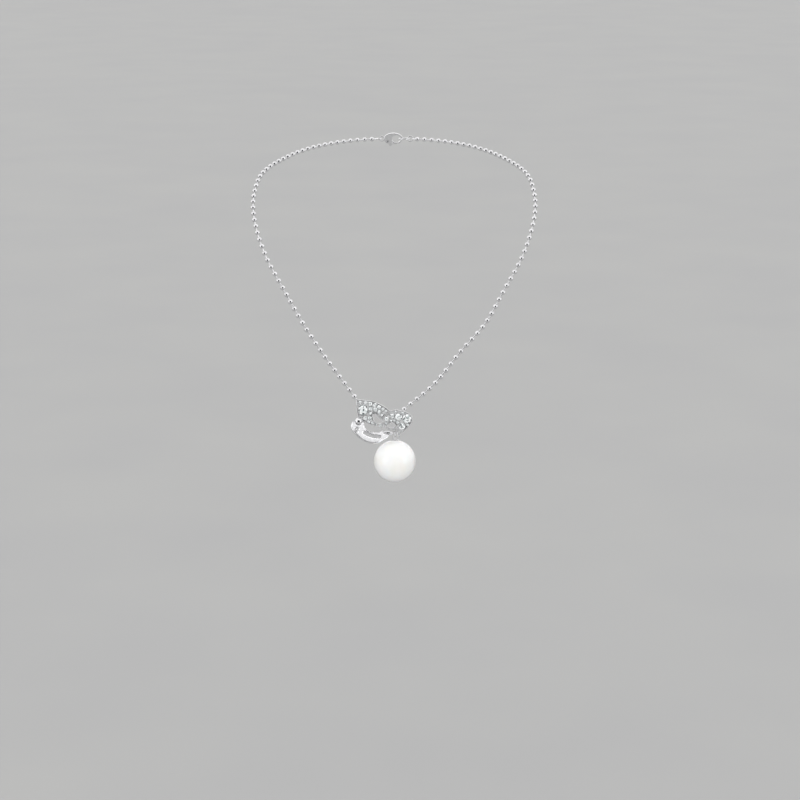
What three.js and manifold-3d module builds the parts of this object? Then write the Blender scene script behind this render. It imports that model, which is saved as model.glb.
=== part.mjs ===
// Pendant necklace: a ball chain closed by a lobster clasp, carrying a crystal-set
// butterfly and a large pearl that hangs under it.
// Millimetres, +Z up. The origin is the nape, at the middle of the clasp. +X is the
// viewer's right, -Y points from the wearer to the viewer.
import * as THREE from 'three';
import { mergeVertices } from 'three/addons/utils/BufferGeometryUtils.js';
import Module from 'manifold-3d';

const wasm = await Module();
wasm.setup();

// ---------- driving dimensions ----------

// The loop as it lies round a neck
const LOOP_HALF_WIDTH = 67.8;   // widest reach of the chain to each side
const LOOP_DEPTH = 126.5;       // nape to the butterfly's lower end, front to back
const LOOP_DROP = 122.8;        // nape to the butterfly's lower end, downwards
const CHEST_LEAN = 15;          // degrees the butterfly leans back from upright

// Ball chain
const BEAD_D = 2.4;
const BEAD_PITCH = 3.85;        // wished for; each strand rounds it to a whole count
const PIN_D = 0.64;             // the pin that joins two beads
const SWIVEL_GAP = 0.3;         // a bead to the pin of the next moving length
const CHAIN_SIDES = 6;
const SHOULDER_AT = 52;         // chain lengths end at these distances from the nape
const UPPER_FROM = 104;
const MIDDLE_FROM = 150;
const LOWER_FROM = 192;

// Butterfly
const WING_T = 1.5;             // set wings
const LOWER_WING_T = 1.1;       // plain wing
const LOWER_WING_TILT = 30;     // degrees the plain wing stands out from the set ones
const SEAM_GAP = 0.12;          // between two soldered plates
const SOLDER_GAP = 0.15;        // round the body and the head
const HEAD_D = 3.6;
const BODY_D = 1.9;
const BEZEL_WALL = 0.4;
const BEZEL_H = 0.7;
const LOWER_WING_ROOT = [-16.2, -0.5, 8.2];
const LOWER_WING_RUN = { along: 0.915, down: 0.403 };   // direction of its length
const STUB_ROOT = {             // where the last chain pins are soldered in
  left: new THREE.Vector3(-17.2, -WING_T / 2, 17.3),
  right: new THREE.Vector3(4.7, -0.4, 11.6),
};
const LUG = { ring: 0.7, wire: 0.22 };      // centre-line radius, wire radius

// Stones
const STONE_SIDES = 8;
const STONE_GAP = 0.1;          // a stone to its seat
const STONE_BACK = 0.18;        // depth below the girdle, as a share of the diameter
const STONE_CROWN = 0.15;       // height above the girdle, as a share
const GIRDLE = 0.04;

// Pearl drop
const PEARL_D = 20;
const PEARL_HOLE_D = 1.3;
const PEG_D = 1.0;
const PEG_L = 6;
const CAP_D = 3.6;
const CAP_T = 0.35;
const CAP_GAP = 0.1;
const RING = { ring: 1.0, wire: 0.2 };
const PEARL_LOOP = { ring: 0.75, wire: 0.2 };
const LINK_PLAY = 0.11;         // between two linked wires

// Clasp
const CLASP_L = 9.8;
const CLASP_H = 6;
const CLASP_T = 2.6;
const HOOK_HOLE = { x: 1.6, rx: 2.3, rz: 1.9 };   // centre from the body's middle
const LEVER_T = 1.1;
const LEVER_SLOT = { x: -1.9, z: -2.4, length: 3.4, height: 4 };   // cut for the lever
const GATE = { x: 1.1, z: -2.3, length: 2.6, height: 3 };          // the hook's mouth
const RING_PAST_GATE = 0.55;    // the jump ring's wire to the inside of the hook
const EYE_SET_IN = 0.6;         // how far the eye sits in the body, as a share of its rim
const SLOT_PLAY = 0.15;         // each side of the lever
const CLASP_PIN_D = 0.8;
const PIN_PLAY = 0.08;
const EYE = { hole: 0.9, rim: 1.5, t: 0.8 };
const LINK = { ring: 1.3, wire: 0.3, stem: 0.9 };
const JUMP_RING = { ring: 2.6, wire: 0.35 };

// ---------- derived values ----------

const rad = THREE.MathUtils.degToRad;
const beadR = BEAD_D / 2;
const pinR = PIN_D / 2;
const pearlR = PEARL_D / 2;
const lugAt = { x: 0.35, y: -WING_T * 0.65, z: 1.95 };
const ringZ = lugAt.z - LUG.ring + LUG.wire + LINK_PLAY + RING.wire - RING.ring;
const ringBottomZ = ringZ - RING.ring;
const loopZ = ringBottomZ + RING.wire + LINK_PLAY + PEARL_LOOP.wire - PEARL_LOOP.ring;
const pearlZ = loopZ - PEARL_LOOP.ring - pearlR;
const lastBead = {
  left: new THREE.Vector3(-18.6, -WING_T / 2, 19.0),
  right: new THREE.Vector3(4.8, beadR * 0.75, 13.05),
};

// ---------- materials ----------

const metal = (color, roughness) => new THREE.MeshStandardMaterial({ color, roughness, metalness: 1 });
const silver = metal(0xdfe1e4, 0.14);
const chainSilver = metal(0xd2d4d6, 0.18);
const steel = metal(0xb9bcc0, 0.3);
const crystal = new THREE.MeshStandardMaterial({ color: 0xdbe6e8, roughness: 0.03, metalness: 0.1 });
const nacre = new THREE.MeshStandardMaterial({ color: 0xf3f0ea, roughness: 0.16, metalness: 0 });

// ---------- solids ----------

function solidOf(geometry) {
  const bare = geometry.clone();
  bare.deleteAttribute('normal');
  bare.deleteAttribute('uv');
  const merged = mergeVertices(bare, 1e-4);
  const corner = merged.index.array;
  const triVerts = [];
  for (let i = 0; i < corner.length; i += 3) {
    const [a, b, c] = corner.slice(i, i + 3);
    if (a !== b && b !== c && c !== a) triVerts.push(a, b, c);
  }
  const vertProperties = Float32Array.from(merged.attributes.position.array);
  const mesh = new wasm.Mesh({ numProp: 3, vertProperties, triVerts: Uint32Array.from(triVerts) });
  return new wasm.Manifold(mesh);
}

function geometryOf(solid) {
  const { vertProperties, triVerts } = solid.getMesh();
  const geometry = new THREE.BufferGeometry();
  geometry.setAttribute('position', new THREE.BufferAttribute(vertProperties, 3));
  geometry.setIndex(new THREE.BufferAttribute(triVerts, 1));
  geometry.computeVertexNormals();
  return geometry;
}

const joined = (...pieces) => pieces.map(solidOf).reduce((all, piece) => all.add(piece));

function piece(name, geometry, material, at = [0, 0, 0]) {
  const mesh = new THREE.Mesh(geometry, material);
  mesh.name = name;
  mesh.position.set(...at);
  return mesh;
}

// Cylinder between two points
function rod(from, to, radius, sides = 8) {
  const axis = new THREE.Vector3().subVectors(to, from);
  const turn = new THREE.Quaternion().setFromUnitVectors(
    new THREE.Vector3(0, 1, 0), axis.clone().normalize());
  return new THREE.CylinderGeometry(radius, radius, axis.length(), sides)
    .applyQuaternion(turn)
    .translate((from.x + to.x) / 2, (from.y + to.y) / 2, (from.z + to.z) / 2);
}

// Wire ring whose hole runs along the named axis
function wireRing({ ring, wire }, axis, sides = 14) {
  const torus = new THREE.TorusGeometry(ring, wire, 6, sides);
  if (axis === 'y') torus.rotateX(Math.PI / 2);
  if (axis === 'x') torus.rotateY(Math.PI / 2);
  return torus;
}

// Plate drawn in X and Z, its back at y = 0 and its front at y = -thickness
function plate(shape, thickness, curveSegments = 3) {
  return new THREE.ExtrudeGeometry(shape, { depth: thickness, bevelEnabled: false, curveSegments })
    .rotateX(Math.PI / 2);
}

// Closed path made of smooth stretches, with a corner where two stretches meet
function path(stretches, Kind = THREE.Shape) {
  const made = new Kind();
  made.moveTo(...stretches[0][0]);
  const start = new THREE.Vector2(...stretches[0][0]);
  stretches.forEach((stretch, i) => {
    const points = stretch.map(([x, y]) => new THREE.Vector2(x, y));
    if (i === 0) points.shift();
    if (i === stretches.length - 1) points.push(start);
    made.splineThru(points);
  });
  return made;
}

// ---------- ball chain ----------

// Shares of the loop's half width, depth and drop, from the nape round to the front
const NECK_ROUTE = [
  [0.000, 0.000, 0.000], [0.110, 0.006, 0.000], [0.324, 0.043, 0.002], [0.590, 0.150, 0.012],
  [0.804, 0.292, 0.037], [0.954, 0.439, 0.077], [0.994, 0.530, 0.126], [1.000, 0.611, 0.183],
  [0.963, 0.696, 0.261], [0.889, 0.767, 0.354], [0.767, 0.826, 0.464], [0.631, 0.877, 0.586],
];
const FRONT_ROUTE = {
  left: [[0.479, 0.917, 0.706]],
  right: [[0.459, 0.915, 0.687], [0.277, 0.951, 0.805]],
};

const pendant = new THREE.Group();
pendant.position.set(0, -LOOP_DEPTH, -LOOP_DROP);
pendant.rotation.x = rad(-CHEST_LEAN);
pendant.updateMatrixWorld();

function strandRoute(side) {
  const sign = side === 'left' ? -1 : 1;
  const points = [...NECK_ROUTE, ...FRONT_ROUTE[side]].map(([x, y, z]) => new THREE.Vector3(
    sign * x * LOOP_HALF_WIDTH, -y * LOOP_DEPTH, -z * LOOP_DROP));
  points.push(pendant.localToWorld(lastBead[side].clone()));
  const curve = new THREE.CatmullRomCurve3(points);
  curve.arcLengthDivisions = 1500;
  return curve;
}

// Bead centres as distances along the strand, from the first bead to the last one
function beadPlaces(curve, firstBead) {
  const length = curve.getLength();
  const count = Math.round((length - firstBead) / BEAD_PITCH);
  const pitch = (length - firstBead) / count;
  return Array.from({ length: count + 1 }, (_, i) => firstBead + i * pitch);
}

// Beads and pins of one length, turned round a straight line and bent along the strand
function beadString(curve, places, startsOn) {
  const half = Math.sqrt(beadR ** 2 - pinR ** 2);
  const shoulder = beadR * 0.62;
  const shoulderR = Math.sqrt(beadR ** 2 - shoulder ** 2);
  const profile = [];
  if (startsOn !== undefined) {
    const start = startsOn + beadR + SWIVEL_GAP;
    profile.push([0, start], [pinR, start]);
  } else {
    profile.push([0, places[0] - beadR]);
  }
  places.forEach((s, i) => {
    if (startsOn !== undefined || i > 0) profile.push([pinR, s - half]);
    profile.push([shoulderR, s - shoulder], [beadR, s], [shoulderR, s + shoulder]);
    if (i < places.length - 1) profile.push([pinR, s + half]);
  });
  profile.push([0, places.at(-1) + beadR]);
  const string = new THREE.LatheGeometry(profile.map(([r, s]) => new THREE.Vector2(r, s)), CHAIN_SIDES);
  return bentAlong(string, curve);
}

function bentAlong(geometry, curve) {
  const length = curve.getLength();
  const away = new THREE.Vector3(0, 0.6, -0.8);   // never along the chain
  const position = geometry.attributes.position;
  const vertex = new THREE.Vector3();
  for (let i = 0; i < position.count; i += 1) {
    vertex.fromBufferAttribute(position, i);
    const share = THREE.MathUtils.clamp(vertex.y / length, 0, 1);
    const tangent = curve.getTangentAt(share);
    const side = new THREE.Vector3().crossVectors(tangent, away).normalize();
    const up = new THREE.Vector3().crossVectors(side, tangent);
    const place = curve.getPointAt(share).addScaledVector(tangent, vertex.y - share * length);
    place.addScaledVector(side, vertex.x).addScaledVector(up, vertex.z);
    position.setXYZ(i, place.x, place.y, place.z);
  }
  geometry.computeVertexNormals();
  return geometry;
}

// One strand in five lengths; the last three move, each from its own pivot bead
function strand(side, firstBead) {
  const curve = strandRoute(side);
  const places = beadPlaces(curve, firstBead);
  const cut = (distance) => places.findIndex((s) => s >= distance);
  const ends = [0, cut(SHOULDER_AT), cut(UPPER_FROM), cut(MIDDLE_FROM), cut(LOWER_FROM), places.length];
  const pieces = ['nape', 'shoulder', 'upper', 'middle', 'lower'].map((part, i) => {
    const startsOn = i === 0 ? undefined : places[ends[i] - 1];
    const geometry = beadString(curve, places.slice(ends[i], ends[i + 1]), startsOn);
    return piece(`chain_${side}_${part}`, geometry, chainSilver);
  });
  const at = (i) => curve.getPointAt(places[ends[i] - 1] / curve.getLength()).toArray();
  return { pieces, pivots: { upper: at(2), middle: at(3), lower: at(4), end: at(5) }, length: places.at(-1) };
}

// ---------- butterfly ----------

const SEAM = [[-5.2, 3.5], [-4.6, 5.1], [-5.0, 7.0], [-5.1, 8.9], [-3.6, 10.9], [-1.75, 12.35]];
const CRYSTAL = { x: -14.7, z: 12.7, d: 4.5 };
const HEAD = new THREE.Vector3(-16.6, -HEAD_D / 2, 7.3);
const BODY = [new THREE.Vector3(-4.9, lugAt.y, 2.5), new THREE.Vector3(lugAt.x - LUG.ring, lugAt.y, 1.6)];

// Stones as centre and diameter: [x, z, d]
const FOREWING_STONES = [
  [-15.9, 16.5, 1.2], [-13.4, 16.2, 1.4], [-11.2, 15.6, 1.9], [-9.0, 15.0, 1.9], [-7.0, 14.1, 1.8],
  [-5.2, 13.1, 1.5], [-3.75, 12.35, 1.1], [-11.0, 13.4, 1.9], [-8.9, 12.9, 1.9], [-6.9, 11.9, 1.7],
  [-5.9, 10.3, 1.3], [-11.2, 11.2, 1.5], [-11.4, 9.0, 1.7], [-13.6, 8.9, 1.8], [-11.9, 7.2, 1.3],
  [-10.2, 6.65, 1.1], [-8.4, 5.75, 0.8], [-6.75, 5.35, 1.0],
];
const HINDWING_STONES = [
  [6.1, 8.6, 4.1], [3.7, 5.0, 3.0], [2.1, 9.4, 3.1], [-1.0, 9.9, 2.2], [-3.5, 8.5, 2.1], [1.7, 6.9, 1.3],
  [-1.4, 7.75, 1.1], [0.3, 7.6, 1.0], [4.0, 11.25, 1.1], [0.6, 11.7, 1.1], [-3.7, 6.4, 1.0],
  [6.3, 5.7, 1.2],
];

// Flat-backed cut stone; its girdle's lower edge is at y = 0 and its table faces -Y
function stoneGeometry(d) {
  const profile = [
    [0, -STONE_BACK * d], [0.3 * d, -STONE_BACK * d], [d / 2, 0], [d / 2, GIRDLE * d],
    [0.3 * d, STONE_CROWN * d], [0, STONE_CROWN * d],
  ].map(([r, h]) => new THREE.Vector2(r, h));
  return new THREE.LatheGeometry(profile, STONE_SIDES).rotateX(Math.PI);
}

// Blind seat for a stone of diameter d in a plate whose front is at y = front
function seatGeometry([x, z, d], front) {
  const depth = STONE_BACK * d + STONE_GAP;
  const r = d / 2 + STONE_GAP;
  return new THREE.LatheGeometry(
    [[0, -depth], [r, -depth], [r, 1], [0, 1]].map(([a, h]) => new THREE.Vector2(a, h)), STONE_SIDES)
    .rotateX(Math.PI)
    .translate(x, front, z);
}

const withSeats = (solid, stones) => stones.reduce(
  (left, stone) => left.subtract(solidOf(seatGeometry(stone, -WING_T))), solid);

const stoneNodes = (stones, name) => stones.map(([x, z, d], i) => piece(
  `${name}_${String(i + 1).padStart(2, '0')}`, stoneGeometry(d), crystal, [x, -WING_T, z]));

// Stub of the last chain pin, soldered into a wing and pointing at the last bead
function stubPin(bead, root) {
  const aim = new THREE.Vector3().subVectors(root, bead).normalize();
  return rod(bead.clone().addScaledVector(aim, beadR + SWIVEL_GAP), root, pinR, CHAIN_SIDES);
}

function headKeepOut() {
  return solidOf(new THREE.SphereGeometry(HEAD_D / 2 + SOLDER_GAP, 14, 10).translate(...HEAD));
}

function forewing() {
  const shape = path([
    [SEAM.at(-1), [-4.7, 14.5], [-9.2, 16.6], [-13.2, 17.35], [-17.7, 17.9]],
    [[-17.9, 14.8], [-17.4, 12.4], [-17.1, 9.4]],
    [[-14.0, 6.9], [-9.4, 5.4], [-6.9, 4.5], SEAM[0]],
    SEAM.slice(1, -1),
  ]);
  shape.holes.push(path([
    [[-10.1, 10.2], [-8.7, 10.6], [-7.2, 9.4], [-5.7, 7.0], [-6.8, 6.4], [-8.1, 6.5], [-9.5, 8.0]],
  ], THREE.Path));
  const bezelR = CRYSTAL.d / 2 + STONE_GAP;
  const bezel = new THREE.LatheGeometry([
    [bezelR, -0.2], [bezelR + BEZEL_WALL, -0.2], [bezelR + BEZEL_WALL, BEZEL_H], [bezelR, BEZEL_H],
    [bezelR, -0.2],
  ].map(([r, h]) => new THREE.Vector2(r, h)), 2 * STONE_SIDES)
    .rotateX(Math.PI)
    .translate(CRYSTAL.x, -WING_T, CRYSTAL.z);
  const stub = stubPin(lastBead.left, STUB_ROOT.left);
  const seats = [[CRYSTAL.x, CRYSTAL.z, CRYSTAL.d], ...FOREWING_STONES];
  return withSeats(joined(plate(shape, WING_T), bezel, stub), seats).subtract(headKeepOut());
}

function hindwing() {
  const seam = SEAM.map(([x, z]) => [x + SEAM_GAP, z - SEAM_GAP / 2]);
  const shape = path([
    [seam.at(-1), [0.8, 12.9], [2.7, 12.55], [5.9, 11.8], [7.6, 10.6], [8.7, 9.0], [8.1, 6.6],
      [5.2, 3.1], [2.8, 1.5]],
    [[2.75, 0.3], [2.1, -0.35], [1.5, 0.3], [1.5, 2.6]],
    [[0.6, 3.05], [-0.9, 3.05], [-2.4, 3.4], [-3.8, 4.6], seam[1]],
    seam.slice(2, -1),
  ]);
  shape.holes.push(path([
    [[-3.0, 5.5], [-2.6, 4.7], [-1.4, 4.35], [-0.3, 4.6], [0.4, 5.3], [0.3, 6.3], [-0.8, 6.8], [-1.9, 6.4]],
  ], THREE.Path));
  const stub = stubPin(lastBead.right, STUB_ROOT.right);
  return withSeats(joined(plate(shape, WING_T), stub), HINDWING_STONES);
}

// Tapered body with the lug that carries the pearl's ring
function butterflyBody() {
  const [from, to] = BODY;
  const length = from.distanceTo(to);
  const profile = [[0, 0], [0.35, 0], [0.85, 0.25], [1, 0.5], [0.8, 0.8], [0.4, 1], [0, 1]]
    .map(([r, s]) => new THREE.Vector2(r * BODY_D / 2, s * length));
  const turn = new THREE.Quaternion().setFromUnitVectors(
    new THREE.Vector3(0, 1, 0), new THREE.Vector3().subVectors(to, from).normalize());
  const spindle = new THREE.LatheGeometry(profile, 10).applyQuaternion(turn).translate(...from);
  const lug = wireRing(LUG, 'y').translate(lugAt.x, lugAt.y, lugAt.z);
  return joined(spindle, lug);
}

function bodyKeepOut() {
  const [from, to] = BODY;
  return solidOf(rod(from, to, BODY_D / 2 + SOLDER_GAP, 12));
}

// Plain wing, drawn with x along the butterfly's length and y away from the set wings
function lowerWing() {
  const down = (points) => points.map(([x, y]) => [x, -y]);
  const shape = path([
    down([[-0.6, 1.6], [-1.7, 2.4], [-2.6, 3.1], [-2.55, 5.4], [-1.2, 7.1], [1.2, 8.5], [3.9, 9.5],
      [6.5, 9.85], [9.3, 9.55], [11.7, 8.35], [13.0, 7.1], [13.9, 5.6], [15.7, 2.9]]),
    down([[15.6, 1.0], [13.6, 1.0], [11.7, 1.0]]),
    down([[11.5, 1.6], [10.8, 2.2], [9.0, 2.95], [7.2, 3.95], [5.4, 4.1], [3.8, 3.1], [2.9, 1.8],
      [2.7, 1.0]]),
    down([[1.2, 1.0]]),
  ]);
  shape.holes.push(path([
    down([[4.2, 6.2], [8.0, 6.35], [12.2, 5.0], [12.0, 4.3], [8.0, 5.35], [4.4, 5.4]]),
  ], THREE.Path));
  const curl = { x: 0.8, y: -6.1, outer: 1.15, inner: 0.6, from: rad(50), to: rad(310) };
  const curlSlot = new THREE.Path();
  curlSlot.absarc(curl.x, curl.y, curl.outer, curl.from, curl.to, false);
  curlSlot.absarc(curl.x, curl.y, curl.inner, curl.to, curl.from, true);
  curlSlot.closePath();
  shape.holes.push(curlSlot);
  const wing = plate(shape, LOWER_WING_T)
    .rotateX(-rad(LOWER_WING_TILT))
    .rotateY(Math.atan2(LOWER_WING_RUN.down, LOWER_WING_RUN.along))
    .translate(...LOWER_WING_ROOT);
  return solidOf(wing).subtract(headKeepOut()).subtract(bodyKeepOut());
}

function butterfly() {
  const head = new THREE.SphereGeometry(HEAD_D / 2, 12, 8);
  const bigCrystal = piece('forewing_crystal', stoneGeometry(CRYSTAL.d), crystal,
    [CRYSTAL.x, -WING_T, CRYSTAL.z]);
  return [
    piece('forewing', geometryOf(forewing()), silver),
    piece('hindwing', geometryOf(hindwing()), silver),
    piece('lower_wing', geometryOf(lowerWing()), silver),
    piece('butterfly_body', geometryOf(butterflyBody()), silver),
    piece('head_ball', head, silver, HEAD.toArray()),
    bigCrystal,
    ...stoneNodes(FOREWING_STONES, 'forewing_stone'),
    ...stoneNodes(HINDWING_STONES, 'hindwing_stone'),
  ];
}

// ---------- pearl drop ----------

function pearlCap() {
  const inner = pearlR + CAP_GAP;
  const outer = inner + CAP_T;
  const spread = Math.asin(CAP_D / 2 / outer);
  const arc = (r, share) => [r * Math.sin(spread * share), r * Math.cos(spread * share)];
  const profile = [
    [0, pearlR - PEG_L], [PEG_D / 2, pearlR - PEG_L], [PEG_D / 2, inner], arc(inner, 0.6), arc(inner, 1),
    arc(outer, 1), arc(outer, 0.55), [0, outer],
  ].map(([r, h]) => new THREE.Vector2(r, h));
  const cap = new THREE.LatheGeometry(profile, 16).rotateX(Math.PI / 2).translate(0, 0, pearlZ);
  return joined(cap, wireRing(PEARL_LOOP, 'y').translate(0, 0, loopZ));
}

function pearl() {
  const ball = solidOf(new THREE.SphereGeometry(pearlR, 26, 18).rotateX(Math.PI / 2));
  const top = new THREE.Vector3(0, 0, pearlR + 1);
  const bottom = new THREE.Vector3(0, 0, pearlR - PEG_L - PIN_PLAY * 2);
  return ball.subtract(solidOf(rod(bottom, top, PEARL_HOLE_D / 2, 10)));
}

function pearlDrop() {
  return [
    piece('pearl_ring', wireRing(RING, 'x', 16), silver, [lugAt.x, lugAt.y, ringZ]),
    piece('pearl_cap', geometryOf(pearlCap()), silver, [lugAt.x, lugAt.y, 0]),
    piece('pearl', geometryOf(pearl()), nacre, [lugAt.x, lugAt.y, pearlZ]),
  ];
}

// ---------- clasp ----------

// Clasp drawn about the middle of its body, hook to the right, lever underneath
const claspMiddle = { pivotX: -2.9, pivotZ: -1.25 };
const slotHalf = LEVER_T / 2 + SLOT_PLAY;
const eyeX = -CLASP_L / 2 - EYE.rim * EYE_SET_IN;
const leftLinkX = eyeX - (LINK.ring + EYE.hole - LINK.wire - 2 * SLOT_PLAY);
const jumpX = HOOK_HOLE.x + HOOK_HOLE.rx - JUMP_RING.wire - RING_PAST_GATE + JUMP_RING.ring;
const rightLinkX = jumpX + JUMP_RING.ring + LINK.ring - LINK.wire - JUMP_RING.wire - SLOT_PLAY;
const linkReach = LINK.ring + LINK.wire + LINK.stem + beadR;
const claspShift = -((leftLinkX - linkReach) + (rightLinkX + linkReach)) / 2;
const firstBead = rightLinkX + linkReach + claspShift;

function claspBody() {
  const shape = new THREE.Shape();
  shape.absellipse(0, 0, CLASP_L / 2, CLASP_H / 2, 0, 2 * Math.PI);
  const hole = new THREE.Path();
  hole.absellipse(HOOK_HOLE.x, 0, HOOK_HOLE.rx, HOOK_HOLE.rz, 0, 2 * Math.PI);
  shape.holes.push(hole);
  const eyeShape = new THREE.Shape();
  eyeShape.absarc(eyeX, 0, EYE.rim, 0, 2 * Math.PI);
  const eyeHole = new THREE.Shape();
  eyeHole.absarc(eyeX, 0, EYE.hole, 0, 2 * Math.PI);
  const shell = plate(shape, CLASP_T, 10).translate(0, CLASP_T / 2, 0);
  const eye = plate(eyeShape, EYE.t, 6).translate(0, EYE.t / 2, 0);
  const slot = new THREE.BoxGeometry(LEVER_SLOT.length, 2 * slotHalf, LEVER_SLOT.height)
    .translate(LEVER_SLOT.x, 0, LEVER_SLOT.z);
  const gate = new THREE.BoxGeometry(GATE.length, CLASP_T + 1, GATE.height).translate(GATE.x, 0, GATE.z);
  return joined(shell, eye)
    .subtract(solidOf(plate(eyeHole, CLASP_T, 6).translate(0, CLASP_T / 2, 0)))
    .subtract(solidOf(slot))
    .subtract(solidOf(gate))
    .subtract(solidOf(pinAt(CLASP_PIN_D / 2 + PIN_PLAY, CLASP_T + 1)));
}

// Cylinder on the lever's pivot
function pinAt(radius, length) {
  const { pivotX, pivotZ } = claspMiddle;
  return rod(new THREE.Vector3(pivotX, -length / 2, pivotZ), new THREE.Vector3(pivotX, length / 2, pivotZ),
    radius, 12);
}

function claspLever() {
  const shape = path([
    [[-3.5, -1.25], [-2.9, -0.65], [-1.6, -0.85], [0.4, -1.75], [1.4, -1.9], [2.2, -1.8]],
    [[2.25, -2.35], [1.4, -2.75], [0.4, -2.8], [-0.6, -2.7]],
    [[-1.1, -3.6], [-1.8, -3.75], [-2.2, -3.0]],
    [[-3.2, -1.9]],
  ]);
  const lever = plate(shape, LEVER_T).translate(0, LEVER_T / 2, 0);
  return solidOf(lever).subtract(solidOf(pinAt(CLASP_PIN_D / 2 + PIN_PLAY, CLASP_T)));
}

// Bent leaf that pushes the lever shut, in the slot above it
function claspSpring() {
  const shape = new THREE.Shape([
    [-3.3, -0.5], [-3.3, -0.6], [-1.7, -0.58], [-0.75, -0.92], [-0.7, -0.8], [-1.7, -0.48],
  ].map(([x, z]) => new THREE.Vector2(x, z)));
  return plate(shape, LEVER_T * 0.8).translate(0, LEVER_T * 0.4, 0);
}

function link(x, axis, away) {
  const ring = wireRing(LINK, axis);
  const reach = LINK.ring + LINK.wire + LINK.stem - STONE_GAP;
  const stem = rod(new THREE.Vector3(away * LINK.ring, 0, 0), new THREE.Vector3(away * reach, 0, 0), pinR, 6);
  return geometryOf(joined(ring, stem)).translate(x, 0, 0);
}

function clasp() {
  const group = new THREE.Group();
  group.position.x = claspShift;
  group.add(
    piece('clasp_body', geometryOf(claspBody()), silver),
    piece('clasp_lever', geometryOf(claspLever()), silver),
    piece('clasp_pin', pinAt(CLASP_PIN_D / 2, CLASP_T), steel),
    piece('clasp_spring', claspSpring(), steel),
    piece('jump_ring', wireRing(JUMP_RING, 'z', 20), silver, [jumpX, 0, 0]),
    piece('link_left', link(leftLinkX, 'z', -1), silver),
    piece('link_right', link(rightLinkX, 'y', 1), silver),
  );
  return group;
}

// ---------- assembly ----------

const necklace = new THREE.Group();
const left = strand('left', firstBead);
const right = strand('right', firstBead);
pendant.add(...butterfly(), ...pearlDrop());
necklace.add(...left.pieces, ...right.pieces, clasp(), pendant);
necklace.updateMatrixWorld();

// Pivots for the joints, in the necklace's frame
necklace.userData = {
  left: left.pivots,
  right: right.pivots,
  strandLengths: [left.length, right.length],
  claspShift,
  lever: [claspMiddle.pivotX + claspShift, 0, claspMiddle.pivotZ],
  lug: pendant.localToWorld(new THREE.Vector3(lugAt.x, lugAt.y, lugAt.z - LUG.ring)).toArray(),
  ring: pendant.localToWorld(new THREE.Vector3(lugAt.x, lugAt.y, ringBottomZ)).toArray(),
};

export default necklace;
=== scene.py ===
# %% [markdown]
# # A butterfly and pearl necklace on a ball chain
# The imported CAD model is the fixed frame: it says where every piece is and what
# moves with what. This script gives each piece its jeweller's finish: round beads
# on their pins, cast wings with raised rims, cut crystals held by grains, and a
# glossy pearl. Everything is in metres, so MM turns millimetres into metres.

# %% Load the frame
import math
import random

import bmesh
import bpy
from mathutils import Matrix, Vector
from mathutils.bvhtree import BVHTree


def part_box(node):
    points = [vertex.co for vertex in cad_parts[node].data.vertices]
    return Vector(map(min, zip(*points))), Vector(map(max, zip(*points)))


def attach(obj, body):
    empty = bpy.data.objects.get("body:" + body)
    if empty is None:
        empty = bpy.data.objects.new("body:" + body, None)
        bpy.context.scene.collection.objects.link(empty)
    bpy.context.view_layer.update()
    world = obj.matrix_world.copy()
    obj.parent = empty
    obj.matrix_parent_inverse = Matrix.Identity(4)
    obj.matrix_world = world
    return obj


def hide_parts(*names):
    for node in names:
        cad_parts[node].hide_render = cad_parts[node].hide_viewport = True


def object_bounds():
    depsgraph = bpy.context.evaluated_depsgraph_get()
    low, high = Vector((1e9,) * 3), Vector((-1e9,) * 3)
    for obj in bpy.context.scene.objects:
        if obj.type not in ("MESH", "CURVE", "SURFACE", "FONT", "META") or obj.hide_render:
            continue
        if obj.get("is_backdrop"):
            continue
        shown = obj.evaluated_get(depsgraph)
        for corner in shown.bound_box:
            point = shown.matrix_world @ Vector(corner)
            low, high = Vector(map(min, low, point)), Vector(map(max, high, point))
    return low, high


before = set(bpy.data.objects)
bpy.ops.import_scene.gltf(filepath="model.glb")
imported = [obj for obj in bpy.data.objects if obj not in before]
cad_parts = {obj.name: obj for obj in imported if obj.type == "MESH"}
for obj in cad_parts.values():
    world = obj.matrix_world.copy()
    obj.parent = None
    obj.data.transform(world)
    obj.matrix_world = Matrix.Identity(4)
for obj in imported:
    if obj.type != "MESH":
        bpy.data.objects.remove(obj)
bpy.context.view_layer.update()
MM = 0.001

# %% [markdown]
# ## Camera
# A necklace on a bust is looked at from the front and a little from above, through
# a long lens, so that the loop isn't stretched. The camera aims between the
# shoulders and the pearl.

# %% Camera
CAMERA_TILT = math.radians(15)
CAMERA_AIM = Vector((2.8, -122, -106)) * MM
CAMERA_DISTANCE = 1.0
LENS = 95.7

forward = Vector((0, math.cos(CAMERA_TILT), -math.sin(CAMERA_TILT)))
camera_data = bpy.data.cameras.new("studio_camera")
camera_data.lens = LENS
camera_data.sensor_width = 36
camera_data.clip_start, camera_data.clip_end = 0.01, 20
camera = bpy.data.objects.new("studio_camera", camera_data)
camera.location = CAMERA_AIM - forward * CAMERA_DISTANCE
camera.rotation_euler = forward.to_track_quat("-Z", "Y").to_euler()
bpy.context.scene.collection.objects.link(camera)
bpy.context.scene.camera = camera
print("camera at", [round(c, 3) for c in camera.location])

# %% [markdown]
# ## Finishes made of nodes
# No finish here uses an image. Each is drawn by the same few nodes: a noise texture,
# a ramp that turns its grey into colours, and a Map Range that turns it into a
# roughness. The textures read Object coordinates, so they stay put on each piece.

# %% Helpers for node materials
def new_material(name):
    material = bpy.data.materials.new(name)
    material.use_nodes = True
    shader = material.node_tree.nodes["Principled BSDF"]
    return material, material.node_tree.nodes, material.node_tree.links, shader


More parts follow.
